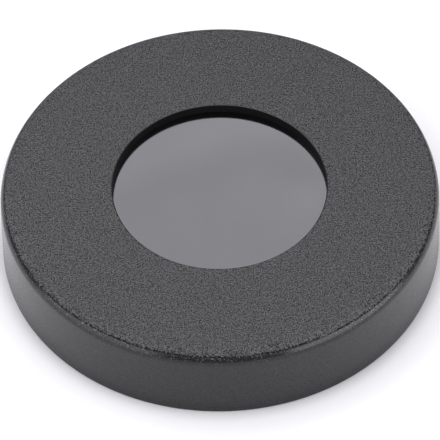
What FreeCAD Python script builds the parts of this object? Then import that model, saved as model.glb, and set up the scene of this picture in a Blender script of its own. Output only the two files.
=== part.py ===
import FreeCAD, Part
import math
import os
import Sketcher

# Slip-on solar filter for a small telescope, in millimetres.
# The cap stands on its open rim: the rim is at z = 0 and +Z points out of the front face.
# A moulded cell carries a film disc behind its window. A stepped ring, held by six screws,
# clamps the film, and a felt strip inside the skirt grips the telescope tube.

# Driving sizes: alias, value, meaning.
DRIVING_SIZES = [
    ("tube_diameter", 96.0, "outside of the telescope tube that the lined skirt slides over"),
    ("felt_thickness", 1.2, "felt strip, as glued in"),
    ("felt_width", 10.0, "felt strip, along the axis"),
    ("felt_inset", 1.0, "from the rim to the felt"),
    ("felt_joint_gap", 1.5, "between the two ends of the felt strip"),
    ("skirt_wall", 2.3, "skirt at the rim"),
    ("side_draft", 0.95, "degrees by which the side leans in above the rim"),
    ("overall_height", 19.4, "rim to front face"),
    ("front_wall", 2.3, "front plate"),
    ("shoulder_radius", 3.2, "rounding between front face and side"),
    ("rim_bevel", 0.3, "bevel of the rim's outer edge"),
    ("mouth_chamfer", 0.6, "lead-in at the rim's inner edge"),
    ("inner_corner_bevel", 0.8, "fillet strip between front plate and skirt, inside"),
    ("aperture_diameter", 50.0, "clear window"),
    ("window_edge_bevel", 0.25, "bevel of the window's front edge"),
    ("film_thickness", 0.1, "film disc"),
    ("film_overlap", 5.0, "film held beyond the window's edge"),
    ("film_clearance", 0.3, "radial room between film and locating rib"),
    ("locating_rib_height", 2.0, "rib round the film, above the back of the plate"),
    ("locating_rib_wall", 1.4, "rib round the film"),
    ("stiffener_count", 12, "radial ribs"),
    ("stiffener_wall", 1.4, "radial rib"),
    ("tube_stop_depth", 11.5, "rim to the rib ends that stop the tube"),
    ("tube_stop_width", 4.0, "radial width of a rib's stop"),
    ("tube_stop_ramp", 1.5, "radial width of the slope up to a stop"),
    ("screw_count", 6, "ring screws, bosses and holes"),
    ("boss_diameter", 5.0, "screw boss"),
    ("boss_overlap", 0.4, "boss run into the locating rib"),
    ("front_skin", 1.1, "plate left in front of a pilot hole"),
    ("pilot_clearance", 0.05, "radial room round a screw's core"),
    ("screw_diameter", 2.0, "screw core"),
    ("screw_length", 4.4, "screw below its head"),
    ("screw_point", 0.9, "length of the screw's tapered point"),
    ("screw_tip", 0.8, "blunt end of the point, across"),
    ("screw_hole_clearance", 0.15, "radial room round the screw in the ring"),
    ("head_diameter", 3.8, "screw head"),
    ("head_height", 1.3, "screw head"),
    ("head_edge_bevel", 0.6, "bevel of the screw head"),
    ("recess_length", 2.2, "cross recess, tip to tip"),
    ("recess_width", 0.6, "cross recess, arm"),
    ("recess_depth", 0.8, "cross recess"),
    ("ring_flange", 1.6, "ring flange under the screw heads"),
    ("ring_wall", 1.4, "ring walls round its cored groove"),
    ("ring_setback", 0.6, "ring's inner edge behind the window's edge"),
    ("ring_clearance", 0.2, "radial room between ring and locating rib"),
    ("ring_margin", 0.4, "flange beyond the bosses"),
    ("ring_edge_chamfer", 0.3, "outer and inner edges of the ring's back"),
]

# Radii and heights worked out from the driving sizes.
FELT_IN = "(sizes.tube_diameter / 2)"
SKIRT_IN = f"({FELT_IN} + sizes.felt_thickness)"
RIM_OUT = f"({SKIRT_IN} + sizes.skirt_wall)"
FRONT_OUT = f"({RIM_OUT} - sizes.overall_height * tan(sizes.side_draft * 1 deg))"
BEVEL_OUT = f"({RIM_OUT} - sizes.rim_bevel * tan(sizes.side_draft * 1 deg))"
WINDOW = "(sizes.aperture_diameter / 2)"
FILM_OUT = f"({WINDOW} + sizes.film_overlap)"
RIB_IN = f"({FILM_OUT} + sizes.film_clearance)"
RIB_OUT = f"({RIB_IN} + sizes.locating_rib_wall)"
SCREW_CIRCLE = f"({RIB_OUT} + sizes.boss_diameter / 2 - sizes.boss_overlap)"
LIP_IN = f"({WINDOW} + sizes.ring_setback)"
LIP_OUT = f"({RIB_IN} - sizes.ring_clearance)"
FLANGE_OUT = f"({SCREW_CIRCLE} + sizes.boss_diameter / 2 + sizes.ring_margin)"
STOP_IN = f"({SKIRT_IN} - sizes.tube_stop_width)"
RAMP_IN = f"({STOP_IN} - sizes.tube_stop_ramp)"

FRONT = "sizes.overall_height"
PLATE_BACK = "(sizes.overall_height - sizes.front_wall)"
FILM_BACK = f"({PLATE_BACK} - sizes.film_thickness)"
SEAT = f"({PLATE_BACK} - sizes.locating_rib_height)"
RING_BACK = f"({SEAT} - sizes.ring_flange)"
GROOVE_END = f"({FILM_BACK} - sizes.ring_wall)"
HEAD_BACK = f"({RING_BACK} - sizes.head_height)"
SCREW_END = f"({RING_BACK} + sizes.screw_length)"

# Ribs and bosses start this far inside the wall that carries them, so that they fuse with it.
ROOT = "sizes.front_wall / 3"

ON_AXIS = "0"

doc = FreeCAD.newDocument("solar_filter")
sheet = doc.addObject("Spreadsheet::Sheet", "sizes")


def fill_sheet():
    """Put each driving size in its own row: value with its alias, then its meaning."""
    for row, (alias, number, meaning) in enumerate(DRIVING_SIZES, start=1):
        sheet.set(f"A{row}", str(number))
        sheet.setAlias(f"A{row}", alias)
        sheet.set(f"B{row}", meaning)
    doc.recompute()


def measure(expression):
    """The present value of a size expression, in millimetres."""
    return float(sheet.evalExpression(f"({expression}) * 1.0"))


def new_body(label):
    body = doc.addObject("PartDesign::Body", label)
    body.Label = label
    return body


def origin_feature(body, role):
    return next(item for item in body.Origin.OriginFeatures if item.Role == role)


def attached_sketch(body, name, role, offset):
    """An empty sketch on one of the body's own planes, moved by the offset expressions."""
    sketch = body.newObject("Sketcher::SketchObject", name)
    sketch.AttachmentSupport = [(origin_feature(body, role), "")]
    sketch.MapMode = "FlatFace"
    for axis, expression in offset.items():
        sketch.setExpression(f"AttachmentOffset.Base.{axis}", expression)
    return sketch


def pin_point(sketch, geometry, point, x, y):
    """Tie one point of the sketch to an x and a y expression."""
    for kind, axis_line, expression in (("DistanceX", -2, x), ("DistanceY", -1, y)):
        if expression == ON_AXIS:
            sketch.addConstraint(Sketcher.Constraint("PointOnObject", geometry, point, axis_line))
            continue
        rule = Sketcher.Constraint(kind, -1, 1, geometry, point, measure(expression))
        index = sketch.addConstraint(rule)
        sketch.setExpression(f"Constraints[{index}]", expression)


def rounded_corner(sketch, before, after, corner, reach, leave, expressions):
    """Join two sides by an arc that is tangent to both, with the sharp corner kept as a point."""
    x, y, radius_expression = expressions
    radius = measure(radius_expression)
    turn = (corner - reach).cross(leave - corner).z
    inward = ((reach - corner) + (leave - corner)).normalize()
    depth = math.hypot((reach - corner).Length, radius)
    centre = corner + inward * depth
    turns_left = turn > 0
    first, last = (reach, leave) if turns_left else (leave, reach)
    reach_end, leave_end = (1, 2) if turns_left else (2, 1)
    first_angle = math.atan2(first.y - centre.y, first.x - centre.x)
    last_angle = math.atan2(last.y - centre.y, last.x - centre.x)
    if last_angle < first_angle:
        last_angle += 2 * math.pi
    circle = Part.Circle(centre, FreeCAD.Vector(0, 0, 1), radius)
    arc = sketch.addGeometry(Part.ArcOfCircle(circle, first_angle, last_angle), False)
    sketch.addConstraint(Sketcher.Constraint("Tangent", before, 2, arc, reach_end))
    sketch.addConstraint(Sketcher.Constraint("Tangent", arc, leave_end, after, 1))
    index = sketch.addConstraint(Sketcher.Constraint("Radius", arc, radius))
    sketch.setExpression(f"Constraints[{index}]", radius_expression)
    point = sketch.addGeometry(Part.Point(corner), True)
    sketch.addConstraint(Sketcher.Constraint("PointOnObject", point, 1, before))
    sketch.addConstraint(Sketcher.Constraint("PointOnObject", point, 1, after))
    pin_point(sketch, point, 1, x, y)


def outline_sketch(body, name, role, corners, offset={}):
    """A closed outline of straight sides. Each corner is tied to its x and y expressions,
    and is rounded where a third expression gives a radius."""
    sketch = attached_sketch(body, name, role, offset)
    places = [FreeCAD.Vector(measure(corner[0]), measure(corner[1]), 0) for corner in corners]
    radii = [measure(corner[2]) if len(corner) == 3 else 0.0 for corner in corners]
    count = len(corners)
    reaches = []
    leaves = []
    for index, place in enumerate(places):
        back = (places[index - 1] - place).normalize()
        onward = (places[(index + 1) % count] - place).normalize()
        run = radii[index] / math.tan(back.getAngle(onward) / 2)
        reaches.append(place + back * run)
        leaves.append(place + onward * run)
    sides = []
    for index in range(count):
        side = Part.LineSegment(leaves[index], reaches[(index + 1) % count])
        sides.append(sketch.addGeometry(side, False))
    for index, corner in enumerate(corners):
        before = sides[index - 1]
        after = sides[index]
        if len(corner) == 3:
            rounded_corner(sketch, before, after, places[index], reaches[index], leaves[index], corner)
        else:
            sketch.addConstraint(Sketcher.Constraint("Coincident", before, 2, after, 1))
            pin_point(sketch, after, 1, *corner)
    doc.recompute()
    return sketch


def circle_sketch(body, name, x, radius, height):
    """A circle centred on the X axis, in a level plane at the given height."""
    sketch = attached_sketch(body, name, "XY_Plane", {"z": height})
    centre = FreeCAD.Vector(measure(x), 0, 0)
    sketch.addGeometry(Part.Circle(centre, FreeCAD.Vector(0, 0, 1), measure(radius)), False)
    pin_point(sketch, 0, 3, x, ON_AXIS)
    index = sketch.addConstraint(Sketcher.Constraint("Radius", 0, measure(radius)))
    sketch.setExpression(f"Constraints[{index}]", radius)
    doc.recompute()
    return sketch


def revolve(body, name, sketch):
    feature = body.newObject("PartDesign::Revolution", name)
    feature.Profile = sketch
    feature.ReferenceAxis = (sketch, ["V_Axis"])
    feature.Angle = 360
    doc.recompute()
    return feature


def pad(body, name, sketch, length, side="One side"):
    feature = body.newObject("PartDesign::Pad", name)
    feature.Profile = sketch
    feature.SideType = side
    feature.setExpression("Length", length)
    doc.recompute()
    return feature


def pocket_upwards(body, name, sketch, depth):
    """Cut from the sketch towards +Z, and make sure that something was cut."""
    before = body.Shape.Volume
    feature = body.newObject("PartDesign::Pocket", name)
    feature.Profile = sketch
    feature.Reversed = True
    feature.setExpression("Length", depth)
    doc.recompute()
    if feature.Shape.Volume >= before:
        raise RuntimeError(f"{name} cuts nothing")
    return feature


def round_pattern(body, name, feature, count):
    """Repeat a feature evenly round the Z axis."""
    pattern = body.newObject("PartDesign::PolarPattern", name)
    pattern.Originals = [feature]
    pattern.Axis = (origin_feature(body, "Z_Axis"), [""])
    pattern.Angle = 360
    pattern.setExpression("Occurrences", count)
    body.Tip = pattern
    doc.recompute()
    return pattern


def make_filter_cell():
    """The moulded cap: plate and skirt as one revolve, then radial ribs and screw bosses."""
    body = new_body("filter_cell")
    section = outline_sketch(body, "cell_section", "XZ_Plane", [
        (WINDOW, PLATE_BACK),
        (RIB_IN, PLATE_BACK),
        (RIB_IN, SEAT),
        (RIB_OUT, SEAT),
        (RIB_OUT, PLATE_BACK),
        (f"({SKIRT_IN} - sizes.inner_corner_bevel)", PLATE_BACK),
        (SKIRT_IN, f"({PLATE_BACK} - sizes.inner_corner_bevel)"),
        (SKIRT_IN, "sizes.mouth_chamfer"),
        (f"({SKIRT_IN} + sizes.mouth_chamfer)", ON_AXIS),
        (f"({RIM_OUT} - sizes.rim_bevel)", ON_AXIS),
        (BEVEL_OUT, "sizes.rim_bevel"),
        (FRONT_OUT, FRONT, "sizes.shoulder_radius"),
        (f"({WINDOW} + sizes.window_edge_bevel)", FRONT),
        (WINDOW, f"({FRONT} - sizes.window_edge_bevel)"),
    ])
    revolve(body, "cell_shell", section)

    rib_top = f"({PLATE_BACK} + {ROOT})"
    rib_start = f"({RIB_OUT} - sizes.locating_rib_wall / 2)"
    rib_end = f"({SKIRT_IN} + sizes.skirt_wall / 3)"
    rib_outline = outline_sketch(body, "stiffener_outline", "XZ_Plane", [
        (rib_start, rib_top),
        (rib_start, SEAT),
        (RAMP_IN, SEAT),
        (STOP_IN, "sizes.tube_stop_depth"),
        (rib_end, "sizes.tube_stop_depth"),
        (rib_end, rib_top),
    ])
    stiffener = pad(body, "stiffener", rib_outline, "sizes.stiffener_wall", side="Symmetric")
    round_pattern(body, "stiffeners", stiffener, "sizes.stiffener_count")

    boss_circle = circle_sketch(body, "boss_circle", SCREW_CIRCLE, "sizes.boss_diameter / 2", SEAT)
    boss = pad(body, "boss", boss_circle, f"sizes.locating_rib_height + {ROOT}")
    round_pattern(body, "bosses", boss, "sizes.screw_count")

    pilot_radius = "sizes.screw_diameter / 2 + sizes.pilot_clearance"
    pilot_circle = circle_sketch(body, "pilot_circle", SCREW_CIRCLE, pilot_radius, SEAT)
    pilot_depth = "sizes.locating_rib_height + sizes.front_wall - sizes.front_skin"
    pilot = pocket_upwards(body, "pilot_hole", pilot_circle, pilot_depth)
    round_pattern(body, "pilot_holes", pilot, "sizes.screw_count")
    return body


def make_solar_film():
    """The film disc, flat against the back of the front plate."""
    film = doc.addObject("Part::Cylinder", "solar_film")
    film.Label = "solar_film"
    film.setExpression("Radius", FILM_OUT)
    film.setExpression("Height", "sizes.film_thickness")
    film.setExpression("Placement.Base.z", FILM_BACK)
    doc.recompute()
    return film


def make_retaining_ring():
    """The stepped ring: a lip that presses on the film, a flange on the bosses, a cored back."""
    body = new_body("retaining_ring")
    groove_in = f"({LIP_IN} + sizes.ring_wall)"
    groove_out = f"({LIP_OUT} - sizes.ring_wall)"
    bevel_in = f"({LIP_IN} + sizes.ring_edge_chamfer)"
    bevel_out = f"({FLANGE_OUT} - sizes.ring_edge_chamfer)"
    bevel_top = f"({RING_BACK} + sizes.ring_edge_chamfer)"
    section = outline_sketch(body, "ring_section", "XZ_Plane", [
        (LIP_IN, bevel_top),
        (bevel_in, RING_BACK),
        (groove_in, RING_BACK),
        (groove_in, GROOVE_END),
        (groove_out, GROOVE_END),
        (groove_out, RING_BACK),
        (bevel_out, RING_BACK),
        (FLANGE_OUT, bevel_top),
        (FLANGE_OUT, SEAT),
        (LIP_OUT, SEAT),
        (LIP_OUT, FILM_BACK),
        (LIP_IN, FILM_BACK),
    ])
    revolve(body, "ring_shell", section)
    hole_radius = "sizes.screw_diameter / 2 + sizes.screw_hole_clearance"
    hole_circle = circle_sketch(body, "screw_hole_circle", SCREW_CIRCLE, hole_radius, RING_BACK)
    hole = pocket_upwards(body, "screw_hole", hole_circle, "sizes.ring_flange")
    round_pattern(body, "screw_holes", hole, "sizes.screw_count")
    return body


def make_retaining_screws():
    """Pan-head screws with a cross recess, heads on the ring's back, points in the bosses."""
    body = new_body("retaining_screws")
    body.AllowCompound = True
    core = "sizes.screw_diameter / 2"
    head = "sizes.head_diameter / 2"
    section = outline_sketch(body, "screw_section", "XZ_Plane", [
        (ON_AXIS, HEAD_BACK),
        (f"{head} - sizes.head_edge_bevel", HEAD_BACK),
        (head, f"{HEAD_BACK} + sizes.head_edge_bevel"),
        (head, RING_BACK),
        (core, RING_BACK),
        (core, f"{SCREW_END} - sizes.screw_point"),
        ("sizes.screw_tip / 2", SCREW_END),
        (ON_AXIS, SCREW_END),
    ], offset={"x": SCREW_CIRCLE})
    revolve(body, "screw_turned", section)

    arm = "sizes.recess_length / 2"
    half = "sizes.recess_width / 2"
    cross_quarter = [(arm, half), (half, half), (half, arm)]
    quarter_turns = [(1, 1), (-1, 1), (-1, -1), (1, -1)]
    corners = []
    for x_sign, y_sign in quarter_turns:
        quarter = [(f"{x_sign} * {x}", f"{y_sign} * {y}") for x, y in cross_quarter]
        corners += quarter if x_sign == y_sign else quarter[::-1]
    cross = outline_sketch(body, "recess_outline", "XY_Plane", corners,
                           offset={"x": SCREW_CIRCLE, "z": HEAD_BACK})
    recess = pocket_upwards(body, "recess", cross, "sizes.recess_depth")

    ring_of_screws = round_pattern(body, "ring_of_screws", recess, "sizes.screw_count")
    ring_of_screws.TransformMode = "Whole shape"
    doc.recompute()
    return body


def make_felt_lining():
    """The felt strip, bent round inside the skirt, with a narrow gap between its ends."""
    body = new_body("felt_lining")
    felt_end = "(sizes.felt_inset + sizes.felt_width)"
    section = outline_sketch(body, "felt_section", "XZ_Plane", [
        (FELT_IN, "sizes.felt_inset"),
        (SKIRT_IN, "sizes.felt_inset"),
        (SKIRT_IN, felt_end),
        (FELT_IN, felt_end),
    ])
    strip = revolve(body, "felt_strip", section)
    strip.Midplane = True
    strip.setExpression("Angle", f"360 - sizes.felt_joint_gap / {FELT_IN} * 180 / pi")
    doc.recompute()
    return body


def check_and_write(pieces):
    """Stop on a failed object or a bad shape, then write one STEP file for each piece."""
    for item in doc.Objects:
        if "Invalid" in item.State or "Error" in item.State:
            raise RuntimeError(f"{item.Label} failed: {item.State}")
    os.makedirs("parts", exist_ok=True)
    for piece in pieces:
        if piece.Shape.isNull() or not piece.Shape.isValid():
            raise RuntimeError(f"{piece.Label} has no valid shape")
    for piece in pieces:
        piece.Shape.exportStep(f"parts/{piece.Label}.step")
        solids = len(piece.Shape.Solids)
        print(f"{piece.Label}: {solids} solid(s), {piece.Shape.Volume:.1f} mm3")


fill_sheet()
check_and_write([
    make_filter_cell(),
    make_solar_film(),
    make_retaining_ring(),
    make_retaining_screws(),
    make_felt_lining(),
])
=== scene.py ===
# %% [markdown]
# # A slip-on solar filter for a small telescope
#
# The object is a black moulded cap that lies on its open rim. A round window in its grained
# front shows a mirror-like film, and the hidden back carries ribs, a retaining ring with its
# screws, and a felt strip that grips the telescope tube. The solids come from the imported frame.
# This lesson replaces the ones whose curves and finish show, and dresses the others.

import math

import bpy
import numpy as np
from mathutils import Matrix, Vector


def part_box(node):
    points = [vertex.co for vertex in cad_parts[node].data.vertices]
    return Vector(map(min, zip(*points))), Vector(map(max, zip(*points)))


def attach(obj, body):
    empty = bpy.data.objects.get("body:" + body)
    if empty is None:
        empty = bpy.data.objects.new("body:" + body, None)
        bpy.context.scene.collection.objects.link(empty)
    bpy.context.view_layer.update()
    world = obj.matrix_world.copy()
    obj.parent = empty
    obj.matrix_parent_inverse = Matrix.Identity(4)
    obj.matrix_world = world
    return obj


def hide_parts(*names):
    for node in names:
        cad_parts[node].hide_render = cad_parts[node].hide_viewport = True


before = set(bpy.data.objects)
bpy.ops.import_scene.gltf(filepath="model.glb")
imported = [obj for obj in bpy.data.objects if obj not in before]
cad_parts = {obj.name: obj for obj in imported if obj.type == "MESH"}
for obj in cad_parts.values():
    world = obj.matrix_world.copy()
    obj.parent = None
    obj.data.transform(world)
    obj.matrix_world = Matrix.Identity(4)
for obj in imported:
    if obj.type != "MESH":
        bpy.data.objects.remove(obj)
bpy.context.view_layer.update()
print("frame nodes:", sorted(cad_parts))

# %% [markdown]
# ## Sizes
#
# Every piece is placed by a few radii and heights. The main ones could be typed in again, but
# reading them from the frame's own boxes keeps the dressed pieces on the solids. What a box
# cannot tell, such as a wall or a rounding, is written where its piece is made, in millimetres.

# %% Read the main sizes
MM = 0.001


def box_sizes(node):
    """Outer radius, lowest and highest level of a round piece that stands on the Z axis."""
    low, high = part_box(node)
    return (high.x - low.x) / 2, low.z, high.z


cell_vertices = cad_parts["filter_cell"].data.vertices
cell_points = np.empty((len(cell_vertices), 3), dtype=np.float32)
cell_vertices.foreach_get("co", cell_points.ravel())
cell_x, cell_y, _ = cell_points.astype(float).T
window_radius = float(np.hypot(cell_x, cell_y).min())
front_z = box_sizes("filter_cell")[2]
film_radius, film_back_z, plate_back_z = box_sizes("solar_film")
skirt_in, felt_low_z, felt_high_z = box_sizes("felt_lining")
print(f"front at {front_z / MM:.2f} mm, window radius {window_radius / MM:.2f} mm")

# %% [markdown]
# ## From arrays to meshes
#
# Blender can spin a profile with a modifier, but a surface of revolution is also just a formula
# on a grid: point i of the profile, turned by the angle of column j. Worked out as whole arrays
# it needs no loop over vertices, and the mesh comes out closed and even. One helper joins the
# points of any grid by quads, and another puts arrays into an object at the origin.

# %% Grid and mesh helpers
TAU = 2 * math.pi


def grid_quads(rows, columns, wrap_rows=False, wrap_columns=True):
    """Quads between neighbours of a rows x columns grid, joined round where a way wraps."""
    last_row = rows if wrap_rows else rows - 1
    last_column = columns if wrap_columns else columns - 1
    i, j = np.meshgrid(np.arange(last_row), np.arange(last_column), indexing="ij")
    next_i = (i + 1) % rows
    next_j = (j + 1) % columns
    corners = [
        i * columns + j,
        next_i * columns + j,
        next_i * columns + next_j,
        i * columns + next_j,
    ]
    return np.stack(corners, axis=-1).reshape(-1, 4).tolist()


def put_mesh(name, points, faces, crease_degrees=30.0):
    """A mesh object from points and faces, smooth where faces turn less than the crease."""
    mesh = bpy.data.meshes.new(name)
    mesh.from_pydata(np.asarray(points).reshape(-1, 3).tolist(), [], faces)
    mesh.validate()
    mesh.shade_smooth()
    mesh.set_sharp_from_angle(angle=math.radians(crease_degrees))
    piece = bpy.data.objects.new(name, mesh)
    bpy.context.scene.collection.objects.link(piece)
    return piece


def stand_for(piece, node):
    """Let a new piece ride on the cap, and hide the solid it replaces."""
    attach(piece, "root")
    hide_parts(node)
    print(f"{piece.name}: {len(piece.data.polygons)} faces, for {node}")


# %% [markdown]
# ## The moulded shell
#
# On the real cap the plate, the skirt and the rib round the film are one moulding, so the shell
# is one closed section turned round the axis. A curve with a Screw modifier would do it too, but
# here the section is a list of corners, each with its own rounding, as on a drawing, and it takes
# its sizes from the solids. The side leans in by about one degree, as it must to leave the mould,
# and a rounding of 3.2 mm makes the soft shoulder. Two numbers are kept at each point for the
# finish: how much of the front's etched grain reaches it, and whether it is on the window's wall.

# %% Outlines with rounded corners
def straight(start, end, count):
    """Points from start to end, both left out: start * (1 - t) + end * t."""
    t = np.arange(1, count)[:, None] / count
    return np.asarray(start) * (1 - t) + np.asarray(end) * t


def arc(start, end, centre, count):
    """Points from start to end, both kept, turned evenly about the centre.

    With the arms a and b from the centre to both ends, and the angle w between the arms, the
    point at t is the centre + (sin((1 - t) w) a + sin(t w) b) / sin(w).
    """
    from_arm = np.asarray(start) - centre
    to_arm = np.asarray(end) - centre
    sweep = math.acos(np.dot(from_arm, to_arm) / np.dot(from_arm, from_arm))
    t = np.linspace(0, 1, count)[:, None]
    arm = np.sin((1 - t) * sweep) * from_arm + np.sin(t * sweep) * to_arm
    return centre + arm / math.sin(sweep)


def rounded_outline(corners):
    """A closed outline of corners (x, z, rounding, points on the rounding, steps on the run after).

    An arc meets each side rounding / tan(half the corner's angle) from the corner, and its
    centre lies on the bisector, rounding / sin(half the angle) from the corner.
    """
    place = np.array([corner[:2] for corner in corners])
    back = np.roll(place, 1, axis=0) - place
    onward = np.roll(place, -1, axis=0) - place
    back /= np.linalg.norm(back, axis=1, keepdims=True)
    onward /= np.linalg.norm(onward, axis=1, keepdims=True)
    half = np.arccos(np.sum(back * onward, axis=1)) / 2
    rounding = np.array([corner[2] for corner in corners])
    run = (rounding / np.tan(half))[:, None]
    bisector = (back + onward) / np.linalg.norm(back + onward, axis=1, keepdims=True)
    centre = place + bisector * (rounding / np.sin(half))[:, None]
    reach = place + back * run
    leave = place + onward * run
    parts = []
    for k, (_, _, size, arc_points, run_steps) in enumerate(corners):
        parts.append(arc(reach[k], leave[k], centre[k], arc_points) if size else place[k:k + 1])
        parts.append(straight(leave[k], reach[(k + 1) % len(corners)], run_steps))
    return np.concatenate(parts)


def revolve(profile, segments):
    """Turn a (radius, height) profile round Z: (r cos a, r sin a, z) for each angle a."""
    angle = np.arange(segments) * TAU / segments
    radius = profile[:, :1]
    height = np.broadcast_to(profile[:, 1:], (len(profile), segments))
    return np.stack([radius * np.cos(angle), radius * np.sin(angle), height], axis=-1)


# %% Section of the shell
skirt_wall = 2.3 * MM
skirt_lean = math.radians(0.95)
shoulder = 3.2 * MM
window_edge = 0.3 * MM
rim_edge = 0.3 * MM
mouth_bevel = 0.6 * MM
inner_corner = 0.8 * MM
film_rib_room = 0.3 * MM
film_rib_wall = 1.4 * MM
film_rib_height = 2.0 * MM
film_rib_root = 0.3 * MM
film_rib_edge = 0.2 * MM

rim_out = skirt_in + skirt_wall
front_out = rim_out - front_z * math.tan(skirt_lean)
film_rib_in = film_radius + film_rib_room
film_rib_out = film_rib_in + film_rib_wall
film_rib_low_z = plate_back_z - film_rib_height

shell_section = rounded_outline([
    (window_radius, plate_back_z, 0, 1, 4),
    (window_radius, front_z, window_edge, 7, 30),
    (front_out, front_z, shoulder, 37, 18),
    (rim_out, 0.0, rim_edge, 7, 3),
    (skirt_in + mouth_bevel, 0.0, 0, 1, 2),
    (skirt_in, mouth_bevel, 0, 1, 8),
    (skirt_in, plate_back_z, inner_corner, 7, 6),
    (film_rib_out, plate_back_z, film_rib_root, 4, 3),
    (film_rib_out, film_rib_low_z, film_rib_edge, 4, 2),
    (film_rib_in, film_rib_low_z, film_rib_edge, 4, 3),
    (film_rib_in, plate_back_z, 0, 1, 4),
])
print(f"shell section: {len(shell_section)} points")

# %% Turn the shell and mark its finish
SHELL_SEGMENTS = 480
GRAIN_TILTS = [29.0, 38.5, 45.0, 80.0, 88.0]
GRAIN_COVERS = [1.3, 0.6, 0.32, 0.08, -0.1]
EDGE_SHARES = [0.75, 1.0, 2.0]
EDGE_COVERS = [-0.1, 0.6, 1.3]
WALL_SHARE = 0.25


def grain_cover(profile):
    """Above 1 on the level front face, and less as its tilt in degrees grows over the shoulder.

    At the window the distance from the wall, as a share of the edge's rounding, limits it too.
    """
    ahead = np.roll(profile, -1, axis=0) - np.roll(profile, 1, axis=0)
    tilt = np.degrees(np.arctan2(-ahead[:, 1], ahead[:, 0]))
    share = (profile[:, 0] - window_radius) / window_edge
    by_tilt = np.interp(np.abs(tilt), GRAIN_TILTS, GRAIN_COVERS)
    return np.minimum(by_tilt, np.interp(share, EDGE_SHARES, EDGE_COVERS))


def window_wall(profile):
    """1 on the window's wall and the lowest part of its rounded edge, and 0 elsewhere."""
    return (profile[:, 0] < window_radius + WALL_SHARE * window_edge).astype(float)


def mark_shell(name, values):
    """Keep one value of each profile point at all the shell's points that come from it."""
    attribute = cell_shell.data.attributes.new(name, "FLOAT", "POINT")
    attribute.data.foreach_set("value", np.repeat(values, SHELL_SEGMENTS))


shell_quads = grid_quads(len(shell_section), SHELL_SEGMENTS, wrap_rows=True)
cell_shell = put_mesh("cell_shell", revolve(shell_section, SHELL_SEGMENTS), shell_quads)
mark_shell("grain_cover", grain_cover(shell_section))
mark_shell("window_wall", window_wall(shell_section))
stand_for(cell_shell, "filter_cell")

# %% [markdown]
# ## Ribs and bosses behind the front plate
#
# Twelve thin ribs run from the film's rib to the skirt, and their tall outer ends stop the tube.
# Six bosses take the ring's screws. Both are flat outlines swept straight. An Array modifier about
# a turned helper object could copy them, but one array product turns all the copies and leaves no
# helper behind. A narrow bevel softens the ribs' edges, as a mould does.

# %% Swept outlines
def turned(points, count):
    """Copies of points, turned evenly round Z: an array of count x points x 3."""
    angle = np.arange(count) * TAU / count
    cosine, sine, zero = np.cos(angle), np.sin(angle), np.zeros(count)
    turns = np.stack([cosine, -sine, zero, sine, cosine, zero, zero, zero, zero + 1], axis=1)
    return np.einsum("kij,nj->kni", turns.reshape(count, 3, 3), points)


def swept_copies(name, outline, sweep, count):
    """A flat outline swept along a vector and closed, with copies turned round Z, as one mesh."""
    following = np.roll(outline, -1, axis=0)
    if np.dot(np.cross(outline, following).sum(axis=0), sweep) < 0:
        outline = outline[::-1]
    sides = len(outline)
    start = np.arange(sides)
    after = np.roll(start, -1)
    walls = np.stack([start, after, sides + after, sides + start], axis=1)
    faces = [start[::-1], sides + start, *walls]
    points = turned(np.vstack([outline, outline + np.asarray(sweep)]), count)
    copies = [(face + copy * 2 * sides).tolist() for copy in range(count) for face in faces]
    return put_mesh(name, points, copies)


def soften(piece, width, from_degrees=40.0):
    """Round the piece's edges that turn more than an angle by a bevel of two segments."""
    bevel = piece.modifiers.new("softened edges", "BEVEL")
    bevel.width = width
    bevel.segments = 2
    bevel.limit_method = "ANGLE"
    bevel.angle_limit = math.radians(from_degrees)


# %% Ribs
RIB_COUNT = 12
rib_wall = 1.4 * MM
rib_bevel = 0.15 * MM
stop_z = 11.5 * MM
stop_in = skirt_in - 4.0 * MM
ramp_in = stop_in - 1.5 * MM
rib_start = film_rib_out - film_rib_wall / 2
sunk = 0.6 * MM

rib_line = np.array([
    (rib_start, plate_back_z + sunk),
    (rib_start, film_rib_low_z),
    (ramp_in, film_rib_low_z),
    (stop_in, stop_z),
    (skirt_in + sunk, stop_z),
    (skirt_in + sunk, plate_back_z + sunk),
])
rib_side = np.full(len(rib_line), -rib_wall / 2)
rib_outline = np.stack([rib_line[:, 0], rib_side, rib_line[:, 1]], axis=1)
cell_ribs = swept_copies("cell_ribs", rib_outline, (0, rib_wall, 0), RIB_COUNT)
soften(cell_ribs, rib_bevel)
stand_for(cell_ribs, "filter_cell")

# %% Bosses
BOSS_COUNT = 6
BOSS_SIDES = 40
boss_radius = 2.5 * MM
boss_overlap = 0.4 * MM

screw_circle = film_rib_out + boss_radius - boss_overlap
boss_angle = np.arange(BOSS_SIDES) * TAU / BOSS_SIDES
boss_outline = np.stack([
    screw_circle + boss_radius * np.cos(boss_angle),
    boss_radius * np.sin(boss_angle),
    np.full(BOSS_SIDES, film_rib_low_z),
], axis=1)
boss_rise = plate_back_z + sunk - film_rib_low_z
cell_bosses = swept_copies("cell_bosses", boss_outline, (0, 0, boss_rise), BOSS_COUNT)
stand_for(cell_bosses, "filter_cell")
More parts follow.
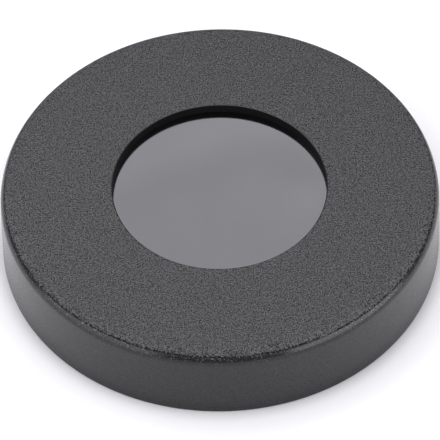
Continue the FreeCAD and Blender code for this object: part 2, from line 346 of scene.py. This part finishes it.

# %% [markdown]
# ## The film
#
# The film is thin, tight and mirror-like, and what shows that it is film and not glass is that
# it is never quite flat. A cloth simulation could find such waves, but here a polar grid carries
# what the photograph shows: one shallow fold across the upper half, a small dimple near the right
# edge and two low waves. All of them fade out towards the clamped edge. The film is cut as a
# disc and stretched between plate and ring.

# %% Height of the film
film_free = window_radius + 0.6 * MM
fold_height = 0.14 * MM
fold_middle = 12.0 * MM
fold_width = 8.5 * MM
fold_turn = math.radians(22.0)
dimple_depth = 0.10 * MM
dimple_x = 21.0 * MM
dimple_y = 2.0 * MM
dimple_width = 6.0 * MM
low_waves = [
    # height, wavelength in metres, direction and phase in degrees
    (0.006 * MM, 19.0 * MM, 35.0, 75.0),
    (0.004 * MM, 13.0 * MM, 160.0, 310.0),
]
FADE_POWER = 8


def film_height(x, y):
    """Fold + dimple + waves, faded to nothing at the clamped edge.

    Across the fold, at the distance s from the disc's middle, the height is a bell curve. The
    dimple is a round bell curve, and the waves are plane sines. The fade is 1 less a high power
    of the share of the way to the edge.
    """
    s = y * math.cos(fold_turn) - x * math.sin(fold_turn)
    height = fold_height * np.exp(-((s - fold_middle) / fold_width) ** 2)
    from_dimple = np.hypot(x - dimple_x, y - dimple_y)
    height -= dimple_depth * np.exp(-(from_dimple / dimple_width) ** 2)
    for size, length, direction, phase in low_waves:
        turn = math.radians(direction)
        along = x * math.cos(turn) + y * math.sin(turn)
        height += size * np.sin(TAU * along / length + math.radians(phase))
    share = np.minimum(np.hypot(x, y) / film_free, 1)
    return height * (1 - share ** FADE_POWER)


# %% Film disc
FILM_RINGS = 90
FILM_SEGMENTS = 240
film_sheet = 0.03 * MM


def film_face(offset):
    """One face of the film on a polar grid: (r cos a, r sin a, middle + height + offset)."""
    radius = np.linspace(0, film_radius, FILM_RINGS + 1)[1:, None]
    angle = np.arange(FILM_SEGMENTS)[None, :] * TAU / FILM_SEGMENTS
    x = radius * np.cos(angle)
    y = radius * np.sin(angle)
    level = (film_back_z + plate_back_z) / 2 + offset
    return np.stack([x, y, level + film_height(x, y)], axis=-1)


def film_mesh():
    """Both faces as one grid, joined at the edge, and a fan of triangles over each middle."""
    front = film_face(film_sheet / 2)
    back = film_face(-film_sheet / 2)
    grid = np.concatenate([front, back[::-1]]).reshape(-1, 3)
    poles = np.array([front[0].mean(axis=0), back[0].mean(axis=0)])
    quads = grid_quads(2 * FILM_RINGS, FILM_SEGMENTS)
    j = np.arange(FILM_SEGMENTS)
    k = (j + 1) % FILM_SEGMENTS
    last = (2 * FILM_RINGS - 1) * FILM_SEGMENTS
    front_fan = np.stack([np.full_like(j, len(grid)), j, k], axis=1)
    back_fan = np.stack([np.full_like(j, len(grid) + 1), last + k, last + j], axis=1)
    return np.vstack([grid, poles]), quads + front_fan.tolist() + back_fan.tolist()


film_disc = put_mesh("film_disc", *film_mesh(), crease_degrees=40.0)
stand_for(film_disc, "solar_film")

# %% [markdown]
# ## The felt strip
#
# Felt is a soft strip with slightly uneven edges and a fuzzy face. Fibres could be grown on it as
# hair, but at this size only the unevenness shows. So it is a rectangle with rounded corners,
# carried round the inside of the skirt and ended at a butt joint, and its face is pushed in and
# out by a product of sine waves.

# %% Section and waves of the felt
FELT_STEPS = 720
felt_thick = 1.2 * MM
felt_joint = 1.5 * MM
felt_rounding = 0.35 * MM
fuzz_depth = 0.05 * MM
fuzz_waves = [
    # waves in a full turn, and the phase that each millimetre of height adds
    (61, 1.9),
    (23, -1.1),
]
sway_height = 0.06 * MM
sway_waves = [
    # waves in a full turn, and the phase at the start
    (37, 1.0),
    (11, 0.0),
]


def felt_grid():
    """The section carried along the skirt's arc: r = wall - depth + fuzz, turned by a.

    Fuzz and the sway of the edges are each a product of two sines, and grow with the depth.
    """
    section = rounded_outline([
        (0.0, felt_high_z, 0, 1, 3),
        (0.0, felt_low_z, 0, 1, 2),
        (felt_thick, felt_low_z, felt_rounding, 6, 16),
        (felt_thick, felt_high_z, felt_rounding, 6, 2),
    ])
    half_gap = felt_joint / 2 / skirt_in
    angle = math.pi + np.linspace(half_gap, TAU - half_gap, FELT_STEPS)[None, :]
    depth = section[:, :1]
    height = section[:, 1:]
    loose = depth / felt_thick
    fuzz = math.prod(np.sin(count * angle + lag * height / MM) for count, lag in fuzz_waves)
    radius = skirt_in - depth + fuzz_depth * loose * (1 + fuzz)
    sway = math.prod(np.sin(count * angle + phase) for count, phase in sway_waves)
    middle = (felt_low_z + felt_high_z) / 2
    to_edge = (height - middle) / (felt_high_z - middle)
    level = height + sway_height * loose * sway * to_edge
    return np.stack([radius * np.cos(angle), radius * np.sin(angle), level], axis=-1)


# %% Felt strip
felt_points = felt_grid()
felt_rows, felt_columns = felt_points.shape[:2]
felt_start = np.arange(felt_rows) * felt_columns
felt_end = felt_start + felt_columns - 1
felt_faces = grid_quads(felt_rows, felt_columns, wrap_rows=True, wrap_columns=False)
felt_faces += [felt_start[::-1].tolist(), felt_end.tolist()]
felt_strip = put_mesh("felt_strip", felt_points, felt_faces, crease_degrees=50.0)
stand_for(felt_strip, "felt_lining")

# %% [markdown]
# ## Shared effects as node groups
#
# Moulded grain and slow unevenness turn up on more than one finish. They could be built again in
# each material, but as node groups with named sockets they are built once, and a material only
# chooses its own numbers. A group puts out a height, a painted shade or a factor, and the shader
# itself stays in the material.

# %% Node helpers
def add_node(tree, kind, inputs=None, **properties):
    """A node with its properties set, and its inputs set by name or by number."""
    node = tree.nodes.new(kind)
    for name, value in properties.items():
        setattr(node, name, value)
    for name, value in (inputs or {}).items():
        node.inputs[name].default_value = value
    return node


def ramp(tree, value, limits, ends=(0.0, 1.0), smooth=False):
    """A socket carried from two limits to two ends, evenly or by a smooth step, and held there."""
    sockets = {"From Min": limits[0], "From Max": limits[1], "To Min": ends[0], "To Max": ends[1]}
    kind = "SMOOTHSTEP" if smooth else "LINEAR"
    node = add_node(tree, "ShaderNodeMapRange", sockets, interpolation_type=kind)
    tree.links.new(value, node.inputs["Value"])
    return node.outputs["Result"]


# %% Group helpers
def new_group(name, inputs, outputs):
    """An empty shader group with named number sockets, and its two end nodes."""
    tree = bpy.data.node_groups.new(name, "ShaderNodeTree")
    for socket, value in inputs.items():
        made = tree.interface.new_socket(socket, in_out="INPUT", socket_type="NodeSocketFloat")
        made.default_value = value
    for socket in outputs:
        tree.interface.new_socket(socket, in_out="OUTPUT", socket_type="NodeSocketFloat")
    return tree, tree.nodes.new("NodeGroupInput"), tree.nodes.new("NodeGroupOutput")


def place_group(tree, group, **values):
    """A group in a material, with its own values: an underscore stands for a space."""
    node = tree.nodes.new("ShaderNodeGroup")
    node.node_tree = group
    for name, value in values.items():
        node.inputs[name.replace("_", " ")].default_value = value
    return node


# %% Moulded grain
GRAIN_RANGE = (0.36, 0.64)
COARSE_SCALE = 0.4
COARSE_SHARE = 0.15


def make_grain_group():
    """Etched grain: a fine noise with a coarser one under it. The painted shade output darkens the
    colour in the pits and lightens it on the tops.
    """
    sockets = {"Grains per metre": 2200.0, "Contrast": 0.3}
    tree, given, result = new_group("moulded grain", sockets, ["Height", "Painted shade"])
    link = tree.links.new
    place = add_node(tree, "ShaderNodeTexCoord")
    fine = add_node(tree, "ShaderNodeTexNoise", {"Detail": 1.5, "Roughness": 0.5})
    wider = add_node(tree, "ShaderNodeMath", {1: COARSE_SCALE}, operation="MULTIPLY")
    coarse = add_node(tree, "ShaderNodeTexNoise", {"Detail": 1.0, "Roughness": 0.5})
    blend = add_node(tree, "ShaderNodeMix", {"Factor": COARSE_SHARE}, data_type="FLOAT")
    link(place.outputs["Object"], fine.inputs["Vector"])
    link(place.outputs["Object"], coarse.inputs["Vector"])
    link(given.outputs["Grains per metre"], fine.inputs["Scale"])
    link(given.outputs["Grains per metre"], wider.inputs[0])
    link(wider.outputs[0], coarse.inputs["Scale"])
    link(fine.outputs[0], blend.inputs["A"])
    link(coarse.outputs[0], blend.inputs["B"])
    height = blend.outputs["Result"]
    # Painted shade: a colour factor, darker in the pits and lighter on the tops, in place of the
    # light and shade of the grain's relief.
    shade = add_node(tree, "ShaderNodeMath", {2: 1.0}, operation="MULTIPLY_ADD")
    link(ramp(tree, height, GRAIN_RANGE, (-1.0, 1.0)), shade.inputs[0])
    link(given.outputs["Contrast"], shade.inputs[1])
    link(height, result.inputs["Height"])
    link(shade.outputs[0], result.inputs["Painted shade"])
    return tree


moulded_grain = make_grain_group()
print("node group:", moulded_grain.name)

# %% Slow unevenness
PATCH_RANGE = {"From Min": 0.3, "From Max": 0.7}


def make_unevenness_group():
    """Slow, soft variation between two numbers: low + (high - low) * noise."""
    sockets = {"Patches per metre": 60.0, "Low": 0.9, "High": 1.1}
    tree, given, result = new_group("slow unevenness", sockets, ["Factor"])
    link = tree.links.new
    place = add_node(tree, "ShaderNodeTexCoord")
    noise = add_node(tree, "ShaderNodeTexNoise", {"Detail": 3.0, "Roughness": 0.6})
    reach = add_node(tree, "ShaderNodeMapRange", PATCH_RANGE)
    link(place.outputs["Object"], noise.inputs["Vector"])
    link(given.outputs["Patches per metre"], noise.inputs["Scale"])
    link(noise.outputs[0], reach.inputs["Value"])
    link(given.outputs["Low"], reach.inputs["To Min"])
    link(given.outputs["High"], reach.inputs["To Max"])
    link(reach.outputs["Result"], result.inputs["Factor"])
    return tree


slow_unevenness = make_unevenness_group()
print("node group:", slow_unevenness.name)

# %% Material helpers
def new_material(name, **constants):
    """A material with only a Principled shader, whose constant sockets are set on it."""
    material = bpy.data.materials.new(name)
    material.use_nodes = True
    tree = material.node_tree
    tree.nodes.clear()
    shader = tree.nodes.new("ShaderNodeBsdfPrincipled")
    for socket, value in constants.items():
        shader.inputs[socket.replace("_", " ")].default_value = value
    output = tree.nodes.new("ShaderNodeOutputMaterial")
    tree.links.new(shader.outputs["BSDF"], output.inputs["Surface"])
    return material, tree, shader


def tint(tree, colour, factor):
    """A colour scaled by a factor that changes over the surface."""
    node = add_node(tree, "ShaderNodeVectorMath", {0: colour}, operation="SCALE")
    tree.links.new(factor, node.inputs["Scale"])
    return node.outputs["Vector"]


def relief(tree, height, depth):
    """A normal bent by a height that changes over the surface, at a depth in metres."""
    bump = add_node(tree, "ShaderNodeBump", {"Distance": depth})
    tree.links.new(height, bump.inputs["Height"])
    return bump.outputs["Normal"]


def dress(piece, material):
    """Give a piece one material, in place of any that it came with."""
    piece.data.materials.clear()
    piece.data.materials.append(material)


# %% [markdown]
# ## Black moulded plastic
#
# The front face has an etched grain of about half a millimetre, which scatters light and looks
# grey, and the side is polished to a satin black. Two materials with a border between them would
# be the quick way, but on the cap the grain thins out over the shoulder, grain by grain. So one
# material adds the grain's own height to the grain_cover attribute and cuts the sum at a level.
# The polish is a clear coat with a faint mottle. It begins a little lower, which leaves a thin
# dark line between. The window's rounded edge is polished too, but the wall below it is not, so
# that none of it glares into the film.

# %% Where the plastic is etched or polished
GRAIN_RAGGED = 2.2
GRAIN_LEVELS = (0.35, 0.65)
POLISH_LEVELS = (0.34, 0.28)
POLISH_MOTTLE = (0.74, 1.0)


def combine(tree, operation, first, *others):
    """Sockets joined one after another by a maths operation."""
    for other in others:
        node = add_node(tree, "ShaderNodeMath", operation=operation)
        tree.links.new(first, node.inputs[0])
        tree.links.new(other, node.inputs[1])
        first = node.outputs[0]
    return first


def shell_mark(tree, name):
    """A number that was kept at the shell's points."""
    return add_node(tree, "ShaderNodeAttribute", attribute_name=name).outputs["Fac"]


def grain_mask(tree, height):
    """1 where the face is etched: a smooth step of its cover plus the grain's own height."""
    ragged = {1: GRAIN_RAGGED, 2: -GRAIN_RAGGED / 2}
    fringe = add_node(tree, "ShaderNodeMath", ragged, operation="MULTIPLY_ADD")
    tree.links.new(height, fringe.inputs[0])
    reach = combine(tree, "ADD", fringe.outputs[0], shell_mark(tree, "grain_cover"))
    return ramp(tree, reach, GRAIN_LEVELS, smooth=True)


def polish_weight(tree, height):
    """The clear coat: 1 below the grain x 1 outside the window's wall x a faint mottle."""
    below = ramp(tree, shell_mark(tree, "grain_cover"), POLISH_LEVELS, smooth=True)
    outside = add_node(tree, "ShaderNodeMath", {0: 1.0}, operation="SUBTRACT")
    tree.links.new(shell_mark(tree, "window_wall"), outside.inputs[1])
    mottle = ramp(tree, height, GRAIN_RANGE, POLISH_MOTTLE)
    return combine(tree, "MULTIPLY", below, outside.outputs[0], mottle)


# %% Cell plastic
SATIN_BLACK = (0.011, 0.011, 0.012)
SATIN_ROUGHNESS = 0.55
GRAIN_BLACK = (0.083, 0.083, 0.087)
GRAIN_DEPTH = 0.20 * MM
POLISH = {"Coat_Roughness": 0.20, "Coat_IOR": 1.46}


def cell_plastic():
    """Grey grain where the mask is 1, satin black where it is 0, and the polish on the black."""
    material, tree, shader = new_material("cell plastic", Specular_IOR_Level=0.03, **POLISH)
    link = tree.links.new
    grain = place_group(tree, moulded_grain, Grains_per_metre=3200.0, Contrast=0.78)
    patches = place_group(tree, slow_unevenness, Patches_per_metre=70.0, Low=0.94, High=1.06)
    height = grain.outputs["Height"]
    mask = grain_mask(tree, height)

    colour = add_node(tree, "ShaderNodeMix", data_type="RGBA")
    link(mask, colour.inputs["Factor"])
    link(tint(tree, SATIN_BLACK, patches.outputs["Factor"]), colour.inputs["A"])
    # The grain's colour carries painted shade: darker in its pits and lighter on its tops.
    link(tint(tree, GRAIN_BLACK, grain.outputs["Painted shade"]), colour.inputs["B"])
    link(colour.outputs["Result"], shader.inputs["Base Color"])

    uneven = add_node(tree, "ShaderNodeMath", {1: SATIN_ROUGHNESS}, operation="MULTIPLY")
    link(patches.outputs["Factor"], uneven.inputs[0])
    link(uneven.outputs[0], shader.inputs["Roughness"])
    link(polish_weight(tree, height), shader.inputs["Coat Weight"])

    pits = combine(tree, "MULTIPLY", mask, height)
    link(relief(tree, pits, GRAIN_DEPTH), shader.inputs["Normal"])
    return material


black_plastic = cell_plastic()
for piece in (cell_shell, cell_ribs, cell_bosses):
    dress(piece, black_plastic)
print("dressed: shell, ribs, bosses")

# %% [markdown]
# ## Coated film
#
# The coating is metal, far thinner than paint, so it reflects like a dark mirror. Tinted glass
# would be another way, but it would let the back show through, which the film does not. So it is
# a metallic shader with a low, slightly uneven roughness, and the waves are already in the mesh.

# %% Film finish
FILM_GREY = (0.239, 0.235, 0.2545)


def coated_film():
    """A dark metal whose grey and haze drift a little over the disc."""
    material, tree, shader = new_material("coated film", Metallic=1.0)
    patches = place_group(tree, slow_unevenness, Patches_per_metre=45.0, Low=0.985, High=1.015)
    haze = place_group(tree, slow_unevenness, Patches_per_metre=120.0, Low=0.10, High=0.14)
    tree.links.new(tint(tree, FILM_GREY, patches.outputs["Factor"]), shader.inputs["Base Color"])
    tree.links.new(haze.outputs["Factor"], shader.inputs["Roughness"])
    return material


dress(film_disc, coated_film())
print("dressed: film")

# %% [markdown]
# ## Ring, screws and felt
#
# The back is seldom seen, but it is finished too: a finer satin on the ring, dark plated steel on
# the screws, and a black felt whose fibres scatter light at its edges. The ring and the screws
# could be built again, but their solids have the right shape and only need a finish. Sheen on the
# felt's shader stands for the loose fibres, which would be thousands of hairs.

# %% Finishes of the back
RING_BLACK = (0.028, 0.028, 0.030)
RING_GRAIN_DEPTH = 0.03 * MM
SCREW_GREY = (0.30, 0.30, 0.31)
FELT_BLACK = (0.022, 0.022, 0.024)
FELT_FIBRE_DEPTH = 0.15 * MM
FELT_SHADER = {"Roughness": 0.95, "Sheen_Weight": 0.35, "Sheen_Roughness": 0.5}


def ring_plastic():
    """Satin black with a fine, shallow grain."""
    material, tree, shader = new_material("ring plastic", IOR=1.5)
    link = tree.links.new
    grain = place_group(tree, moulded_grain, Grains_per_metre=3000.0, Contrast=0.25)
    gloss = place_group(tree, slow_unevenness, Patches_per_metre=140.0, Low=0.40, High=0.50)
    # The ring's colour carries faint painted shade: darker in the grain's pits and lighter on its
    # tops.
    link(tint(tree, RING_BLACK, grain.outputs["Painted shade"]), shader.inputs["Base Color"])
    link(gloss.outputs["Factor"], shader.inputs["Roughness"])
    link(relief(tree, grain.outputs["Height"], RING_GRAIN_DEPTH), shader.inputs["Normal"])
    return material


def plated_steel():
    """Dark metal with small patches in its shade and gloss."""
    material, tree, shader = new_material("plated steel", Metallic=1.0)
    link = tree.links.new
    patches = place_group(tree, slow_unevenness, Patches_per_metre=900.0, Low=0.85, High=1.15)
    gloss = place_group(tree, slow_unevenness, Patches_per_metre=1500.0, Low=0.28, High=0.42)
    link(tint(tree, SCREW_GREY, patches.outputs["Factor"]), shader.inputs["Base Color"])
    link(gloss.outputs["Factor"], shader.inputs["Roughness"])
    return material


def black_felt():
    """Matt black fibres with sheen: the grain at a fine scale, deep for its width."""
    material, tree, shader = new_material("black felt", **FELT_SHADER)
    link = tree.links.new
    fibres = place_group(tree, moulded_grain, Grains_per_metre=4000.0, Contrast=0.6)
    # The felt's colour carries painted shade: darker in the pits between the fibres and lighter on
    # their tops.
    link(tint(tree, FELT_BLACK, fibres.outputs["Painted shade"]), shader.inputs["Base Color"])
    link(relief(tree, fibres.outputs["Height"], FELT_FIBRE_DEPTH), shader.inputs["Normal"])
    return material


dress(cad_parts["retaining_ring"], ring_plastic())
dress(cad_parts["retaining_screws"], plated_steel())
dress(felt_strip, black_felt())
print("dressed: ring, screws, felt")

# %% [markdown]
# ## Floor and studio light
#
# A pale floor carries the cap. A softbox overhead lights its front face, and a tall one at each
# front corner draws the bright bands on its side. The sky is dim, but for a patch at the back,
# which the film mirrors to the camera, and a faint one in front. More light would make the
# background white and wash out the black, so the white is only shown: rays from the camera and
# from mirrors see a lifted floor and a pale room, and the rays that light the cap do not. The
# floor's lift is nothing at the rim and full 3 mm out, which leaves a narrow ring round the rim
# darker: partly the cap's own shadow, and partly a painted shadow. The room has a dark gap in
# front, where a camera stands, which draws the dark line along the shoulder. A black card
# before each lamp keeps it out of the film, so that no side shows the film as a white disc.

# %% Which rays see the lift
def seen_by(tree, *kinds):
    """1 for rays of the named kinds, and 0 for the others, such as those that carry light."""
    path = add_node(tree, "ShaderNodeLightPath")
    return combine(tree, "MAXIMUM", *(path.outputs[kind] for kind in kinds))


# %% Floor
FLOOR_WHITE = (0.875, 0.870, 0.905, 1.0)
FLOOR_REACH = 6.0
floor_z = -0.02 * MM
NEAR_LIFT = 0.25
painted_shadow_limits = (rim_out, rim_out + 3.0 * MM)
FAR_LIFT = 0.8
far_limits = (0.06, 0.20)


def make_floor():
    """A wide square, lifted by two ramps of the distance from the axis: near, then far off."""
    corners = np.array([(-1, -1, 0), (1, -1, 0), (1, 1, 0), (-1, 1, 0)]) * FLOOR_REACH
    floor = put_mesh("floor", corners + (0, 0, floor_z), [(0, 1, 2, 3)])
    constants = {"Roughness": 1.0, "Specular_IOR_Level": 0.0}
    material, tree, shader = new_material("pale floor", **constants)
    shader.inputs["Base Color"].default_value = FLOOR_WHITE
    shader.inputs["Emission Color"].default_value = FLOOR_WHITE
    place = add_node(tree, "ShaderNodeTexCoord")
    away = add_node(tree, "ShaderNodeVectorMath", operation="LENGTH")
    tree.links.new(place.outputs["Object"], away.inputs[0])
    distance = away.outputs["Value"]
    # The near ramp paints a shadow: the lift is 0 on the rim and full 3 mm out, whatever the light.
    near = ramp(tree, distance, painted_shadow_limits, (0.0, NEAR_LIFT))
    far = ramp(tree, distance, far_limits, (0.0, FAR_LIFT))
    shown = seen_by(tree, "Is Camera Ray", "Is Glossy Ray", "Is Transmission Ray")
    near_lift = combine(tree, "MULTIPLY", near, shown)
    far_lift = combine(tree, "MULTIPLY", far, seen_by(tree, "Is Camera Ray"))
    lift = combine(tree, "ADD", near_lift, far_lift)
    tree.links.new(lift, shader.inputs["Emission Strength"])
    dress(floor, material)


make_floor()
print(f"floor: {2 * FLOOR_REACH:.0f} m square")

# %% Patches of the sky
def unit_vector(azimuth, elevation):
    """Direction (cos e cos a, cos e sin a, sin e) of an azimuth and an elevation in degrees."""
    a, e = math.radians(azimuth), math.radians(elevation)
    return math.cos(e) * math.cos(a), math.cos(e) * math.sin(a), math.sin(e)


def sky_patch(tree, direction, azimuth, elevation, middle, edge, ends):
    """A smooth step of the cosine from the patch's axis, to two ends: beyond its edge, within."""
    axis = {1: unit_vector(azimuth, elevation)}
    cosine = add_node(tree, "ShaderNodeVectorMath", axis, operation="DOT_PRODUCT")
    tree.links.new(direction, cosine.inputs[0])
    limits = (math.cos(math.radians(edge)), math.cos(math.radians(middle)))
    return ramp(tree, cosine.outputs["Value"], limits, ends, smooth=True)


# %% Sky
SKY_DIM = 0.08
SOFT_BOXES = [
    # azimuth, elevation, half angle of the bright middle and of the faded edge, radiance
    (90.0, 36.0, 3.0, 27.0, 1.43),
    (-90.0, 15.0, 10.0, 50.0, 0.20),
]
PALE_ROOM = 0.85
ROOM_RISES = (5.0, 25.0)
ROOM_GAPS = [
    # azimuth, elevation, half angle of the dark middle and of the faded edge
    (-90.0, 6.0, 12.0, 40.0),
    (90.0, 42.0, 6.0, 20.0),
]


def make_sky():
    """Dim + soft boxes + a room that pales upwards, for mirrors only; white for the camera."""
    world = bpy.data.worlds.new("studio sky")
    world.use_nodes = True
    tree = world.node_tree
    tree.nodes.clear()
    direction = tree.nodes.new("ShaderNodeTexCoord").outputs["Generated"]
    split = tree.nodes.new("ShaderNodeSeparateXYZ")
    tree.links.new(direction, split.inputs[0])
    rises = [math.sin(math.radians(angle)) for angle in ROOM_RISES]
    rise = ramp(tree, split.outputs["Z"], rises, (0.0, PALE_ROOM))
    gaps = [sky_patch(tree, direction, *gap, (1.0, 0.0)) for gap in ROOM_GAPS]
    mirrored = seen_by(tree, "Is Glossy Ray", "Is Transmission Ray")
    room = combine(tree, "MULTIPLY", rise, mirrored, *gaps)

    boxes = [sky_patch(tree, direction, *box, (0.0, radiance)) for *box, radiance in SOFT_BOXES]
    dim = add_node(tree, "ShaderNodeValue")
    dim.outputs[0].default_value = SKY_DIM
    total = combine(tree, "ADD", dim.outputs[0], room, *boxes)
    shown = combine(tree, "MAXIMUM", total, seen_by(tree, "Is Camera Ray"))
    background = tree.nodes.new("ShaderNodeBackground")
    output = tree.nodes.new("ShaderNodeOutputWorld")
    tree.links.new(shown, background.inputs["Strength"])
    tree.links.new(background.outputs["Background"], output.inputs["Surface"])
    bpy.context.scene.world = world


make_sky()
bpy.context.scene.view_settings.view_transform = "Standard"
print(f"sky: {len(SOFT_BOXES)} soft boxes, {len(ROOM_GAPS)} dark gaps")

# %% Lamps
LAMPS = [
    # name, place, target, width, length, watts
    ("overhead softbox", (-0.05, 0.0, 0.25), (-0.05, 0.0, 0.0), 0.40, 0.30, 0.82),
    ("left softbox", (-0.172, -0.135, 0.058), (0.0, -0.03, 0.058), 0.22, 0.115, 0.15),
    ("right softbox", (0.172, -0.135, 0.058), (0.0, -0.03, 0.058), 0.22, 0.115, 0.25),
]


def make_lamp(name, place, target, width, length, watts):
    """A rectangular area lamp that faces the target and does not show itself."""
    light = bpy.data.lights.new(name, "AREA")
    light.shape = "RECTANGLE"
    light.size = width
    light.size_y = length
    light.energy = watts
    lamp = bpy.data.objects.new(name, light)
    lamp.location = place
    lamp.rotation_euler = (Vector(target) - Vector(place)).to_track_quat("-Z", "Y").to_euler()
    lamp.visible_camera = False
    bpy.context.scene.collection.objects.link(lamp)
    return lamp


def card_before(lamp, piece):
    """Keep a lamp off one piece, as a black card in its beam would."""
    shaded = bpy.data.collections.new(lamp.name + " card")
    shaded.objects.link(piece)
    shaded.collection_objects[0].light_linking.link_state = "EXCLUDE"
    lamp.light_linking.receiver_collection = shaded


for settings in LAMPS:
    card_before(make_lamp(*settings), film_disc)
print(f"lamps: {len(LAMPS)}, each with a card before the film")

# %% [markdown]
# ## Camera
#
# The photograph looks down at about fifty degrees through a long lens, a little turned. Such a
# camera could be set by eye, but fitting the cap's outline gives its place and angles to a
# fraction of a pixel. The lens follows from the focal length in pixels of a picture 440 wide.

# %% Camera at the photograph's angle
PICTURE_WIDTH = 440.0
FOCAL_PIXELS = 4162.2
CAMERA_PLACE = Vector((0.0, -0.62996, 0.75693))
PITCH_DEGREES = 49.9728
YAW_DEGREES = -0.0069
ROLL_DEGREES = -1.2578

camera_data = bpy.data.cameras.new("camera")
camera_data.sensor_width = 36.0
camera_data.lens = FOCAL_PIXELS * camera_data.sensor_width / PICTURE_WIDTH
camera_data.clip_end = 50.0
camera = bpy.data.objects.new("camera", camera_data)
bpy.context.scene.collection.objects.link(camera)
turn = Matrix.Rotation(-math.radians(YAW_DEGREES), 4, "Z")
tip = Matrix.Rotation(math.radians(90.0 - PITCH_DEGREES), 4, "X")
roll = Matrix.Rotation(math.radians(ROLL_DEGREES), 4, "Z")
camera.matrix_world = Matrix.Translation(CAMERA_PLACE) @ turn @ tip @ roll
bpy.context.scene.camera = camera
print(f"camera lens {camera_data.lens:.1f} mm")
